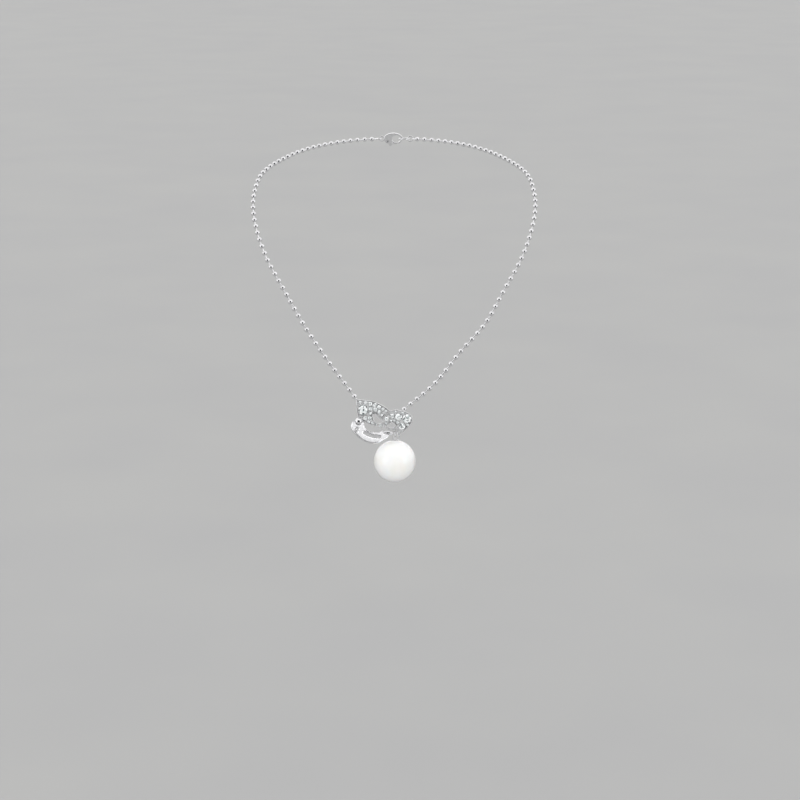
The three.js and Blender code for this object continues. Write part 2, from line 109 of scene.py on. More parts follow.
def noise(nodes, links, coords, scale, detail=2.0):
    texture = nodes.new("ShaderNodeTexNoise")
    texture.inputs["Scale"].default_value = scale
    texture.inputs["Detail"].default_value = detail
    links.new(coords.outputs["Object"], texture.inputs["Vector"])
    return texture


def ramp(nodes, links, factor, stops):
    made = nodes.new("ShaderNodeValToRGB")
    elements = made.color_ramp.elements
    while len(elements) < len(stops):
        elements.new(0.5)
    for element, (position, color) in zip(elements, stops):
        element.position = position
        element.color = (*color, 1)
    links.new(factor, made.inputs["Fac"])
    return made


def spread(nodes, links, factor, low, high):
    made = nodes.new("ShaderNodeMapRange")
    made.inputs["From Min"].default_value = 0.3
    made.inputs["From Max"].default_value = 0.7
    made.inputs["To Min"].default_value = low
    made.inputs["To Max"].default_value = high
    links.new(factor, made.inputs["Value"])
    return made.outputs["Result"]


# %% [markdown]
# ## Polished plating
# Costume jewellery is cast in a soft alloy and plated. The plating is a mirror, but
# not a perfect one: polishing leaves a very fine orange-peel, handling leaves
# slightly dull patches, and the colour drifts a little. One noise texture gives the
# patches and a finer one the peel. Drawn wire and steel are the same finish, duller.

# %% Metal finishes
PATCH_SCALE = 700
PEEL_SCALE = 2600
PEEL_DEPTH = 0.02 * MM


def plating(name, dull, bright, roughness, peel=0.05):
    """A metal whose colour runs from dull to bright and whose roughness runs
    between the two values of roughness, in patches of about a millimetre."""
    material, nodes, links, shader = new_material(name)
    coords = nodes.new("ShaderNodeTexCoord")
    patches = noise(nodes, links, coords, PATCH_SCALE)
    tone = ramp(nodes, links, patches.outputs["Fac"], [(0.3, dull), (0.7, bright)])
    links.new(tone.outputs["Color"], shader.inputs["Base Color"])
    dullness = spread(nodes, links, patches.outputs["Fac"], *roughness)
    links.new(dullness, shader.inputs["Roughness"])
    grain = noise(nodes, links, coords, PEEL_SCALE, 3)
    bump = nodes.new("ShaderNodeBump")
    bump.inputs["Strength"].default_value = peel
    bump.inputs["Distance"].default_value = PEEL_DEPTH
    links.new(grain.outputs["Fac"], bump.inputs["Height"])
    links.new(bump.outputs["Normal"], shader.inputs["Normal"])
    shader.inputs["Metallic"].default_value = 1
    return material


bright_silver = plating("bright_silver_plating",
                        (0.80, 0.80, 0.81), (0.93, 0.93, 0.94), (0.10, 0.05))
chain_silver = plating("chain_silver_plating",
                       (0.72, 0.72, 0.73), (0.88, 0.88, 0.89), (0.16, 0.08))
rim_silver = plating("burnished_rim_plating",
                     (0.86, 0.86, 0.87), (0.96, 0.96, 0.96), (0.36, 0.26))
satin_silver = plating("satin_silver_plating",
                       (0.62, 0.62, 0.63), (0.66, 0.66, 0.67), (0.24, 0.18))
pin_wire = plating("drawn_pin_wire",
                   (0.80, 0.80, 0.81), (0.92, 0.92, 0.93), (0.46, 0.38))
spring_steel = plating("drawn_spring_steel",
                       (0.52, 0.53, 0.55), (0.66, 0.67, 0.68), (0.34, 0.24))
METALS = (bright_silver, chain_silver, rim_silver, satin_silver, pin_wire, spring_steel)
print("metals:", [metal.name for metal in METALS])

# %% [markdown]
# ## Metal between the stones
# Where stones are set, a graver has cut the metal into small flat faces that sparkle.
# A Voronoi texture used as bump gives such faces, about half a millimetre across. The
# metal is a little less mirror-like than the rims, because many tiny faces mix light.
# Its colour is also kept darker than the rims', which is painted shade in the sunk field
# between the stones.

# %% Setting metal
CUT_SIZE = 0.45 * MM
CUT_DEPTH = 0.22 * MM


def cut_into_facets(material, size, depth):
    """Swaps the fine bump for small flat cuts, as a graver leaves between stones."""
    nodes, links = material.node_tree.nodes, material.node_tree.links
    coords = nodes.new("ShaderNodeTexCoord")
    cells = nodes.new("ShaderNodeTexVoronoi")
    cells.inputs["Scale"].default_value = 1 / size
    bump = nodes.new("ShaderNodeBump")
    bump.inputs["Strength"].default_value = 1
    bump.inputs["Distance"].default_value = depth
    links.new(coords.outputs["Object"], cells.inputs["Vector"])
    links.new(cells.outputs["Distance"], bump.inputs["Height"])
    links.new(bump.outputs["Normal"], nodes["Principled BSDF"].inputs["Normal"])


# Colour 0.62 to 0.86, darker than the rims' 0.86 to 0.96: painted shade for the sunk field
# between the stones.
seat_metal_with_painted_shade = plating("cut_setting_metal_with_painted_shade",
                     (0.62, 0.63, 0.64), (0.86, 0.87, 0.87), (0.58, 0.44), peel=0.25)
cut_into_facets(seat_metal_with_painted_shade, CUT_SIZE, CUT_DEPTH)
seat_metal_with_painted_shade.node_tree.nodes["Principled BSDF"].inputs["Metallic"].default_value = 0.6
print("setting metal:", seat_metal_with_painted_shade.name)

# %% [markdown]
# ## Crystal
# A rhinestone is cut glass with a mirror foil behind it. Seen from the front, each
# facet shows either a bright or a dark part of the room, turned round inside the
# glass. Tracing light through thirty tiny stones is slow and noisy, so each facet's
# reflection is painted instead: a brightness kept in an attribute, turned into a
# painted dark, grey or bright colour, over a mirror finish that still catches the
# real lights.

# %% Crystal finish
# The attribute that holds each facet's painted reflection.
FACET_REFLECTION = "painted_facet_reflection"


def crystal_finish(name, tint):
    material, nodes, links, shader = new_material(name)
    # Each facet's painted reflection, read from the attribute and turned by the ramp into a
    # dark, grey, tinted or white colour.
    tone = nodes.new("ShaderNodeAttribute")
    tone.attribute_name = FACET_REFLECTION
    dark = tuple(0.09 * c for c in tint)
    middle = tuple(0.50 * c for c in tint)
    color = ramp(nodes, links, tone.outputs["Fac"],
                 [(0.0, dark), (0.35, middle), (0.65, tint), (1.0, (1, 1, 1))])
    links.new(color.outputs["Color"], shader.inputs["Base Color"])
    coords = nodes.new("ShaderNodeTexCoord")
    haze = noise(nodes, links, coords, 1500)
    dullness = spread(nodes, links, haze.outputs["Fac"], 0.02, 0.07)
    links.new(dullness, shader.inputs["Roughness"])
    shader.inputs["Metallic"].default_value = 0.15
    shader.inputs["Coat Weight"].default_value = 0.5
    shader.inputs["Coat Roughness"].default_value = 0.02
    return material


crystal = crystal_finish("foiled_cut_crystal", (0.80, 0.87, 0.87))
print("crystal:", crystal.name, "reads the attribute", FACET_REFLECTION)

# %% [markdown]
# ## Pearl
# An imitation pearl is a glass or resin bead dipped in many thin pearly coats. The
# body is creamy white and slightly see-through, the coats are glossy and split
# light faintly into colours. Subsurface gives the glow, a clear coat the gloss, and
# a thin film on the shader the faint overtone.

# %% Pearl finish
CREAM, IVORY, COOL_WHITE = (0.90, 0.885, 0.85), (0.935, 0.93, 0.915), (0.92, 0.925, 0.93)


def pearl_finish(name):
    material, nodes, links, shader = new_material(name)
    coords = nodes.new("ShaderNodeTexCoord")
    cloud = noise(nodes, links, coords, 130, 3)
    color = ramp(nodes, links, cloud.outputs["Fac"],
                 [(0.3, CREAM), (0.5, IVORY), (0.7, COOL_WHITE)])
    links.new(color.outputs["Color"], shader.inputs["Base Color"])
    dullness = spread(nodes, links, cloud.outputs["Fac"], 0.22, 0.16)
    links.new(dullness, shader.inputs["Roughness"])
    skin = noise(nodes, links, coords, 420, 2)
    bump = nodes.new("ShaderNodeBump")
    bump.inputs["Strength"].default_value = 0.06
    bump.inputs["Distance"].default_value = 0.05 * MM
    links.new(skin.outputs["Fac"], bump.inputs["Height"])
    links.new(bump.outputs["Normal"], shader.inputs["Normal"])
    shader.inputs["Subsurface Weight"].default_value = 0.25
    shader.inputs["Subsurface Radius"].default_value = (1.0, 0.85, 0.7)
    shader.inputs["Subsurface Scale"].default_value = 1.2 * MM
    shader.inputs["Coat Weight"].default_value = 0.6
    shader.inputs["Coat Roughness"].default_value = 0.09
    shader.inputs["Thin Film Thickness"].default_value = 380
    shader.inputs["Thin Film IOR"].default_value = 1.45
    return material


nacre = pearl_finish("pearl_coating")
print("pearl:", nacre.name)

# %% [markdown]
# ## Finishing a piece
# Every new piece goes through the same steps: make the mesh, give it its finishes,
# shade it smooth, hang it on the body it rides on and hide the CAD solids it stands
# for. A Subdivision Surface is added where a casting should look melted and round.

# %% Finish a piece
def finish_piece(name, bm, materials, body, replaced=(), smooth=True,
                 levels=0, sharp=None):
    """Makes the object. levels adds subdivision, sharp keeps edges past that angle."""
    mesh = bpy.data.meshes.new(name)
    bm.to_mesh(mesh)
    bm.free()
    for material in materials:
        mesh.materials.append(material)
    mesh.shade_smooth() if smooth else mesh.shade_flat()
    if sharp is not None:
        mesh.set_sharp_from_angle(angle=math.radians(sharp))
    piece = bpy.data.objects.new(name, mesh)
    bpy.context.scene.collection.objects.link(piece)
    if levels:
        surface = piece.modifiers.new("rounded", "SUBSURF")
        surface.levels = surface.render_levels = levels
    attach(piece, body)
    if replaced:
        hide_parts(*replaced)
    print(f"{name}: {len(mesh.polygons)} faces, rides on {body}")
    return piece


# %% [markdown]
# ## Turned shapes
# Beads, pins, rings, the cap and the pearl are all round, as if turned on a lathe or
# bent from wire. Half of the section is drawn as a few points and spun round Z, and
# the seam of the full turn is welded. The shape is then aimed at its place. A CAD
# solid arrives as loose triangles, so a copy is welded before anything is read off it.

# %% Turned shapes, wires and CAD copies
CAD_WELD = 0.0005 * MM
SEAM_WELD = 0.002 * MM


def cad_copy(node):
    """The CAD solid's mesh with its loose triangles joined up."""
    bm = bmesh.new()
    bm.from_mesh(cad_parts[node].data)
    bmesh.ops.remove_doubles(bm, verts=bm.verts, dist=CAD_WELD)
    return bm


def extent(points):
    """The low and the high corner of the box round the points."""
    points = list(points)
    low = Vector([min(p[i] for p in points) for i in range(3)])
    high = Vector([max(p[i] for p in points) for i in range(3)])
    return low, high


def aimed(centre, direction):
    """Places a shape made along Z so that Z points in that direction."""
    return Matrix.Translation(centre) @ direction.to_track_quat("Z", "Y").to_matrix().to_4x4()


def turned(bm, profile, place, steps=24, closed_profile=False):
    """Spins a profile of (radius, height) points round Z, then places it."""
    points = [bm.verts.new((radius, 0, height)) for radius, height in profile]
    ends = points[1:] + points[:1] if closed_profile else points[1:]
    edges = [bm.edges.new(pair) for pair in zip(points, ends)]
    made = bmesh.ops.spin(bm, geom=points + edges, cent=(0, 0, 0), axis=(0, 0, 1),
                          angle=2 * math.pi, steps=steps, use_merge=True)
    found = {item for item in made["geom_last"] if isinstance(item, bmesh.types.BMVert)}
    grown = grow(found | {v for v in points if v.is_valid})
    bmesh.ops.remove_doubles(bm, verts=list(grown), dist=SEAM_WELD)
    grown = grow({v for v in grown if v.is_valid})
    bmesh.ops.recalc_face_normals(bm, faces=list({f for v in grown for f in v.link_faces}))
    bmesh.ops.transform(bm, matrix=place, verts=list(grown))
    return list(grown)


def grow(seeds):
    """All the vertices joined to the seeds."""
    found, queue = set(seeds), list(seeds)
    while queue:
        for edge in queue.pop().link_edges:
            for vertex in edge.verts:
                if vertex not in found:
                    found.add(vertex)
                    queue.append(vertex)
    return found


def rod(bm, start, end, radius, sides=12):
    length = (end - start).length
    profile = [(0, 0), (radius, 0), (radius, length), (0, length)]
    return turned(bm, profile, aimed(start, end - start), sides)


def wire_ring(bm, place, ring, wire, steps=48, sides=14, height=1.0):
    """A ring of round wire, or of flattened wire where height isn't 1."""
    section = [(ring + wire * math.cos(a), wire * height * math.sin(a))
               for a in (2 * math.pi * i / sides for i in range(sides))]
    return turned(bm, section, place, steps, closed_profile=True)


# %% [markdown]
# ## Ball chain
# Each bead is a hollow ball with a hole at both ends, and a pin with two heads joins
# it to the next. The CAD lengths already hold every bead as rings of points, so the
# bead centres are read from them: starting at one tip and stepping outward ring by
# ring gives each ring's centre and radius, and the widest rings are the beads'
# middles. One fine bead is spun from its profile and set down at every centre.

# %% Read the bead centres
BEAD_R = 1.2 * MM
PIN_R = 0.32 * MM
WIDEST = 0.97              # a ring this near the bead's radius is its middle
LENGTHS = ["nape", "shoulder", "upper", "middle", "lower"]
BODY_OF_LENGTH = {"nape": "nape", "shoulder": "nape", "upper": "chain_upper",
                  "middle": "chain_middle", "lower": "chain_lower"}


def layers_from(start):
    """Rings of vertices at one step, two steps and so on from the start."""
    seen, layer, layers = {start}, [start], []
    while layer:
        layers.append(layer)
        layer = list({e.other_vert(v) for v in layer for e in v.link_edges} - seen)
        seen.update(layer)
    return layers


def bead_centres(node):
    bm = cad_copy(node)
    bm.verts.ensure_lookup_table()
    tip = layers_from(bm.verts[0])[-1][0]
    rings = []
    for layer in layers_from(tip):
        centre = sum((v.co for v in layer), Vector()) / len(layer)
        rings.append((centre, max((v.co - centre).length for v in layer)))
    bm.free()
    return [centre for centre, radius in rings if radius > WIDEST * BEAD_R]


def strand_centres(side):
    """Bead centres of each length, each list in order from the nape to the front."""
    lists = []
    nearest = Vector((0, 0, 0))
    for length in LENGTHS:
        centres = bead_centres(f"chain_{side}_{length}")
        if (centres[-1] - nearest).length < (centres[0] - nearest).length:
            centres.reverse()
        lists.append(centres)
        nearest = centres[-1]
    return dict(zip(LENGTHS, lists))


strands = {side: strand_centres(side) for side in ("left", "right")}
for side, lists in strands.items():
    print(side, "strand beads:", {length: len(c) for length, c in lists.items()})

# %% [markdown]
# ## Beads and pins
# A bead is pressed from tube, so each hole has a lip turned inwards. The bead points
# along the chain there, halfway between the pins before and after it. A pin is a
# plain rod whose ends hide in the beads. Each of the five lengths is one piece on its
# own body, and the first pin of a length ends just outside the bead it swivels in.

# %% Make the beads and pins
BEAD_HOLE_R = 0.42 * MM
BEAD_LIP_R, BEAD_LIP_DEPTH = 0.36 * MM, 0.14 * MM
BEAD_SEGMENTS = 16
PIN_HIDDEN = 0.2 * MM      # how far a pin goes into its bead
SWIVEL_GAP = 0.03 * MM     # where a length swivels, so that its pin clears the bead


def bead_profile():
    """Half section of a bead: a lip turned into each hole, and the ball between."""
    first = math.asin(BEAD_HOLE_R / BEAD_R)
    arc = [first + (math.pi - 2 * first) * i / 8 for i in range(9)]
    ball = [(BEAD_R * math.sin(a), BEAD_R * math.cos(a)) for a in arc]
    lip = (BEAD_LIP_R, ball[0][1] - BEAD_LIP_DEPTH)
    return [lip, *ball, (lip[0], -lip[1])]


def chain_length(side, length, before):
    centres = strands[side][length]
    line = ([before] if before else []) + centres
    bm = bmesh.new()
    for i, centre in enumerate(centres):
        place = line.index(centre)
        ahead = line[min(place + 1, len(line) - 1)] - line[max(place - 1, 0)]
        turned(bm, bead_profile(), aimed(centre, ahead), BEAD_SEGMENTS)
    for start, end in zip(line, line[1:]):
        reach = (end - start).normalized()
        hidden = BEAD_R - PIN_HIDDEN
        near = BEAD_R + SWIVEL_GAP if start is before else hidden
        made = rod(bm, start + reach * near, end - reach * hidden, PIN_R, 10)
        for face in {f for v in made for f in v.link_faces}:
            face.material_index = 1
    name = f"ball_chain_{side}_{length}"
    finish_piece(name, bm, [chain_silver, pin_wire], BODY_OF_LENGTH[length],
                 [f"chain_{side}_{length}"], sharp=50)


for side in strands:
    before = None
    for length in LENGTHS:
        chain_length(side, length, before)
        before = strands[side][length][-1]

# %% [markdown]
# ## Cast wings
# A cast wing is a flat plate with a raised, softly rounded rim round its edge and
# round each opening. The outline is the flat back of the CAD solid, extruded to the
# plate's thickness. The front is then inset in small steps that rise, run level and
# fall again, which draws the rim's half-round section and leaves a sunk field. A
# bevel could round the edges too, but on an outline with short edges it throws
# spikes, and insets don't. Subdivision then melts the steps into one curve.

# %% Build a casting from a flat back
WING_T = 1.5 * MM
LOWER_WING_T = 1.1 * MM
EDGE_ROUND = 0.23 * MM
# Each step goes this far inwards and this far up, in millimetres.
RIM_CREST = [(0.06, 0.12), (0.08, 0.08), (0.08, 0.03), (0.08, -0.03)]
RIM_STEPS = RIM_CREST + [(0.08, -0.08), (0.05, -0.16), (0.04, 0)]
PLAIN_RIM_STEPS = RIM_CREST + [(0.07, -0.16), (0.05, 0), (0.05, 0.08)]
BACK_STEPS = [(0.05, 0.04), (0.08, 0.02), (0.05, 0)]
BACK_ROUND = 0.06 * MM
LEVEL_WITHIN = 0.01 * MM
SHORTEST_EDGE = 0.12 * MM
SQUARE_ON = 0.999          # the least cosine between a flat face and the plate's normal


def back_turn(bm):
    """The turn whose Y axis is the normal of the solid's large flat back."""
    groups = {}
    for face in bm.faces:
        if face.normal.y > 0.3:
            groups.setdefault(tuple(round(c, 1) for c in face.normal), []).append(face)
    back = max(groups.values(), key=lambda faces: sum(f.calc_area() for f in faces))
    normal = sum((f.normal * f.calc_area() for f in back), Vector()).normalized()
    across = (Vector((1, 0, 0)) - normal * normal.x).normalized()
    return Matrix((across, normal, across.cross(normal))).transposed().to_4x4()


def flat_back(node):
    """The back face of a casting, turned to lie in X and Z, and that turn."""
    bm = cad_copy(node)
    turn = back_turn(bm)
    bmesh.ops.transform(bm, matrix=turn.inverted(), verts=bm.verts)
    bm.normal_update()
    flat = [f for f in bm.faces if f.normal.y > SQUARE_ON]
    largest = max(flat, key=lambda f: f.calc_area())
    level = largest.calc_center_median().y
    others = [f for f in bm.faces if f.normal.y < SQUARE_ON
              or abs(f.calc_center_median().y - level) > LEVEL_WITHIN]
    bmesh.ops.delete(bm, geom=others, context="FACES")
    bmesh.ops.remove_doubles(bm, verts=bm.verts, dist=SHORTEST_EDGE)
    bmesh.ops.dissolve_degenerate(bm, dist=0.02 * MM, edges=bm.edges)
    inner = [e for e in bm.edges if len(e.link_faces) == 2]
    bmesh.ops.beautify_fill(bm, faces=bm.faces, edges=inner)
    return bm, turn


def inset_steps(bm, faces, steps):
    """Insets the faces a little at a time and moves them out or in after each."""
    away = -1 if faces[0].normal.y < 0 else 1
    for inward, outward in steps:
        bmesh.ops.inset_region(bm, faces=faces, thickness=inward * MM,
                               use_even_offset=False, use_boundary=True)
        corners = list({v for f in faces for v in f.verts})
        bmesh.ops.translate(bm, vec=(0, away * outward * MM, 0), verts=corners)


def casting(node, thickness, rim_steps, field_index):
    """A rimmed plate, still turned flat, and the turn that puts it in place."""
    bm, turn = flat_back(node)
    back = bm.faces[:]
    made = bmesh.ops.extrude_face_region(bm, geom=back, use_keep_orig=True)
    front = [g for g in made["geom"] if isinstance(g, bmesh.types.BMFace)]
    moved = [g for g in made["geom"] if isinstance(g, bmesh.types.BMVert)]
    bmesh.ops.translate(bm, vec=(0, EDGE_ROUND - thickness, 0), verts=moved)
    back_corners = list({v for f in back for v in f.verts})
    bmesh.ops.translate(bm, vec=(0, -BACK_ROUND, 0), verts=back_corners)
    bmesh.ops.recalc_face_normals(bm, faces=bm.faces)
    inset_steps(bm, front, rim_steps)
    inset_steps(bm, back, BACK_STEPS)
    for face in front:
        face.material_index = field_index
    return bm, turn


# %% [markdown]
# ## Setting the stones
# Small stones are set in pavé: each one drops into a cut seat, and the setter raises
# grains of metal between the stones and pushes them over the girdles. Here each
# stone gets a bright cut edge round its seat, and grains are tried all round every
# stone. A grain stays where it touches no other stone, has no grain next to it and
# has metal behind it, which a ray cast at the wing tells.

# %% Measure the stones
SET_STONES = {
    "forewing": ["forewing_crystal"] + [f"forewing_stone_{i:02d}" for i in range(1, 19)],
    "hindwing": [f"hindwing_stone_{i:02d}" for i in range(1, 13)],
}


def turned_box(node, turn):
    """The node's box in the wings' own directions: across, front to back, up."""
    return extent(turn.inverted() @ v.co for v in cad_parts[node].data.vertices)


def seat_of(node, turn):
    """A stone's middle, radius, table height and back height, in the same directions."""
    low, high = turned_box(node, turn)
    middle = Vector(((low.x + high.x) / 2, 0, (low.z + high.z) / 2))
    return middle, (high.x - low.x) / 2, low.y, high.y


print("stones to set:", {wing: len(stones) for wing, stones in SET_STONES.items()})

# %% [markdown]
# ## Where the grains go
# A ray is shot at the wing from the front of each likely place, and its depth below
# the rim's top says what is there: the rim, its slope, the sunk field, or an opening.
# Round each stone a ring of places is tried, and the bare field is tried on an even
# grid. Random places would also fill it, but a setter works in rows.

# %% Find the places of the grains
GRAIN_REACH = 0.13 * MM        # from the stone's edge to the grain's middle
GRAIN_CLEAR = 0.08 * MM
GRAIN_SPACING = 0.42 * MM
FILLER_SPACING = 0.52 * MM
FILLER_CLEAR = 0.3 * MM
FILLER_TO_GRAIN = 0.4 * MM
SLOPE = (0.08 * MM, 0.22 * MM)     # depths between the rim's top and its foot
FIELD = (0.25 * MM, 0.6 * MM)      # depths of the sunk field


def metal_depth(tree, place, front):
    """How far the metal lies behind the rim's top, or None at an opening."""
    start = Vector((place.x, front - 2 * MM, place.z))
    hit = tree.ray_cast(start, Vector((0, 1, 0)))[0]
    return None if hit is None else hit.y - front


def clear_of(place, seats, gap):
    return all((place - other).length > radius + gap for other, radius, _, _ in seats)


def apart_from(place, others, gap):
    return all((place - other).length > gap for other in others)


def grain_places(seats, tree, front):
    places = []
    for centre, radius, _, _ in seats:
        steps = max(8, round(radius / MM * 10))
        for i in range(steps):
            angle = 2 * math.pi * i / steps
            outward = Vector((math.cos(angle), 0, math.sin(angle)))
            place = centre + outward * (radius + GRAIN_REACH)
            depth = metal_depth(tree, place, front)
            firm = depth is not None and depth < FIELD[1] and not SLOPE[0] < depth < SLOPE[1]
            clear = clear_of(place, seats, GRAIN_CLEAR)
            if firm and clear and apart_from(place, places, GRAIN_SPACING):
                places.append(place)
    return places


def filler_places(seats, tree, front, taken, low, high):
    """Grains in the bare stretches of the field, on an even grid."""
    places = []
    rows = int((high.z - low.z) / FILLER_SPACING)
    columns = int((high.x - low.x) / FILLER_SPACING)
    for row in range(rows):
        for column in range(columns):
            across = low.x + (column + 0.5 * (row % 2)) * FILLER_SPACING
            place = Vector((across, 0, low.z + row * FILLER_SPACING))
            depth = metal_depth(tree, place, front)
            firm = depth is not None and FIELD[0] < depth < FIELD[1]
            clear = clear_of(place, seats, FILLER_CLEAR)
            if firm and clear and apart_from(place, taken, FILLER_TO_GRAIN):
                places.append(place)
    return places


# %% [markdown]
# ## Seat edges and grains
# The bright edge of a seat is a thin flattened ring just outside the stone, a little
# above its girdle. A grain is a small ball half sunk in the metal. There are hundreds
# of them, so each has only a few dozen faces. The finer balls hold the stones and
# the larger ones fill the bare field.

# %% Set the seat edges and the grains
GRAIN_R, GRAIN_SUNK = 0.17 * MM, 0.02 * MM
FILLER_R, FILLER_SUNK = 0.22 * MM, 0.2 * MM
SEAT_WIRE, SEAT_GAP, SEAT_FLATTEN = 0.055 * MM, 0.05 * MM, 1.6
SEAT_DEPTH = 0.42          # share of the stone's height, from its table
FACE_FRONT = Matrix.Rotation(math.radians(90), 4, "X")


def front_facing(x, y, z):
    """Places a shape made along Z so that Z points out of the wing's front."""
    return Matrix.Translation((x, y, z)) @ FACE_FRONT


def add_balls(bm, places, level, radius):
    for place in places:
        bmesh.ops.create_uvsphere(bm, u_segments=8, v_segments=6, radius=radius,
                                  matrix=front_facing(place.x, level, place.z))


def set_grains(bm, seats, front):
    """Adds seat edges and grains to the casting and returns how many grains."""
    tree = BVHTree.FromBMesh(bm)
    low, high = extent(v.co for v in bm.verts)
    places = grain_places(seats, tree, front)
    fillers = filler_places(seats, tree, front, places, low, high)
    for centre, radius, table, back in seats:
        level = table + (back - table) * SEAT_DEPTH + SEAT_GAP
        wire_ring(bm, front_facing(centre.x, level, centre.z), radius + SEAT_GAP,
                  SEAT_WIRE, 28, 6, SEAT_FLATTEN)
    add_balls(bm, places, front + GRAIN_SUNK, GRAIN_R)
    add_balls(bm, fillers, front + FILLER_SUNK, FILLER_R)
    return len(places) + len(fillers)


# %% [markdown]
# ## Bezel and stubs
# The big crystal sits in a bezel, a thin wall of metal rubbed over its edge. The last
# pin of each chain strand is soldered into a wing. Both are turned shapes joined to
# the casting, as solder joins them on the real piece.

# %% Bezel and stub
BEZEL_WALL = 0.4 * MM
BEZEL_BASE, BEZEL_TOP = -0.35 * MM, 0.7 * MM
STUB_DEPTH = 0.3           # share of the wing's thickness that the stub goes in


def bezel(bm, seat, front):
    centre, radius, _, _ = seat
    inner, outer = radius + 0.04 * MM, radius + 0.1 * MM + BEZEL_WALL
    foot = [(inner + 0.1 * MM, BEZEL_BASE), (outer, BEZEL_BASE)]
    # Each point of the rubbed-over lip: a radius, and how far it is below the top.
    lip = [(outer, 0.2), (outer - 0.07 * MM, 0.06), (outer - 0.2 * MM, 0),
           (inner + 0.1 * MM, 0.03), (inner, 0.12), (inner + 0.03 * MM, 0.22)]
    section = foot + [(radius, BEZEL_TOP - below * MM) for radius, below in lip]
    turned(bm, section, front_facing(centre.x, front, centre.z), 56, closed_profile=True)


def stub(bm, bead, thickness):
    """The last chain pin, soldered into the edge of the wing next to the last bead."""
    edge = min((v.co for v in bm.verts), key=lambda c: (c - bead).length)
    reach = (edge - bead).normalized()
    rod(bm, bead + reach * (BEAD_R - PIN_HIDDEN), edge + reach * thickness * STUB_DEPTH,
        PIN_R, 12)


# %% [markdown]
# ## The finished wings
# The casting and its trimmings are two pieces on one body: subdivision melts the
# casting, and it would shrink the small grains too. So the casting is made twice, once
# to keep, and once only to find the grains' places, after which its own points go.

# %% Forewing, hindwing and lower wing
STUB_BEADS = {"forewing": strands["left"]["lower"][-1],
              "hindwing": strands["right"]["lower"][-1]}


def set_wing(node):
    bm, turn = casting(node, WING_T, RIM_STEPS, 1)
    front = min(v.co.y for v in bm.verts)
    stub(bm, turn.inverted() @ STUB_BEADS[node], WING_T)
    bmesh.ops.transform(bm, matrix=turn, verts=bm.verts)
    # The sunk field takes the setting metal, whose darker colour is painted shade between the
    # stones.
    finish_piece(f"cast_{node}", bm, [rim_silver, seat_metal_with_painted_shade], "butterfly",
                 [node], levels=2)
    setting, turn = casting(node, WING_T, RIM_STEPS, 1)
    seats = [seat_of(stone, turn) for stone in SET_STONES[node]]
    cast = setting.verts[:]
    count = set_grains(setting, seats, front)
    if node == "forewing":
        bezel(setting, seats[0], front)
    bmesh.ops.delete(setting, geom=cast, context="VERTS")
    bmesh.ops.transform(setting, matrix=turn, verts=setting.verts)
    finish_piece(f"{node}_grains_and_bezels", setting, [rim_silver], "butterfly",
                 sharp=40)
    print(node, "grains:", count)
    return turn


wing_turn = set_wing("forewing")
set_wing("hindwing")
bm, lower_turn = casting("lower_wing", LOWER_WING_T, PLAIN_RIM_STEPS, 1)
bmesh.ops.transform(bm, matrix=lower_turn, verts=bm.verts)
finish_piece("cast_lower_wing", bm, [bright_silver, satin_silver], "butterfly",
             ["lower_wing"], levels=2)

# %% [markdown]
# ## Cut stones
# A round brilliant has a flat table, eight star facets, eight kites, sixteen upper
# girdle facets and a girdle. All its corners lie on a few rings, and the smallest
# convex shape round those corners is the cut stone, so a convex hull makes every
# facet at once. The star ring's depth is worked out so that the kites come out flat.
# The table is then divided into wedges, because what shows through a table is the
# pattern of the facets under it.

# %% The cut
TABLE_SHARE, STAR_SHARE, CULET_SHARE = 0.56, 0.80, 0.30      # of the radius
CROWN_SHARE, GIRDLE_SHARE = 0.40, 0.11                       # of the height
TABLE_INSET = 0.17
FACETS = 8


def ring_of_corners(bm, radius, height, count, offset=0.0):
    for i in range(count):
        angle = 2 * math.pi * (i + offset) / count
        bm.verts.new((radius * math.cos(angle), radius * math.sin(angle), height))


def brilliant(radius, height):
    """A cut stone with its girdle round Z, its table up and its back at zero."""
    bm = bmesh.new()
    half = math.cos(math.pi / FACETS)
    star_drop = (STAR_SHARE * half - TABLE_SHARE) / (1 - TABLE_SHARE)
    crown = CROWN_SHARE * height
    ring_of_corners(bm, TABLE_SHARE * radius, height, FACETS)
    ring_of_corners(bm, STAR_SHARE * radius, height - star_drop * crown, FACETS, 0.5)
    ring_of_corners(bm, radius, height - crown, 2 * FACETS)
    ring_of_corners(bm, radius, height - crown - GIRDLE_SHARE * height, 2 * FACETS)
    ring_of_corners(bm, CULET_SHARE * radius, 0, FACETS)
    bmesh.ops.convex_hull(bm, input=bm.verts)
    bmesh.ops.dissolve_limit(bm, angle_limit=math.radians(1), verts=bm.verts, edges=bm.edges)
    table = max(bm.faces, key=lambda f: f.calc_center_median().z)
    bmesh.ops.inset_region(bm, faces=[table], thickness=TABLE_INSET * radius,
                           use_even_offset=True)
    bmesh.ops.poke(bm, faces=[table])
    bmesh.ops.recalc_face_normals(bm, faces=bm.faces)
    return bm


# %% [markdown]
# ## Painted facet reflections and setting
# Each facet draws its painted reflection, a brightness from a seeded die, so that every
# run gives the same stones. Most are bright, some grey and a few nearly dark, standing
# for the room each facet would reflect, and that contrast is what makes cut glass look
# cut. Each stone is also turned by chance, as a setter drops it.

# %% Cut and set every stone
DARK_CHANCE, GREY_CHANCE = 0.13, 0.25
# One seeded die draws the painted facet reflections and each stone's turn.
reflection_and_spin_dice = random.Random(11)


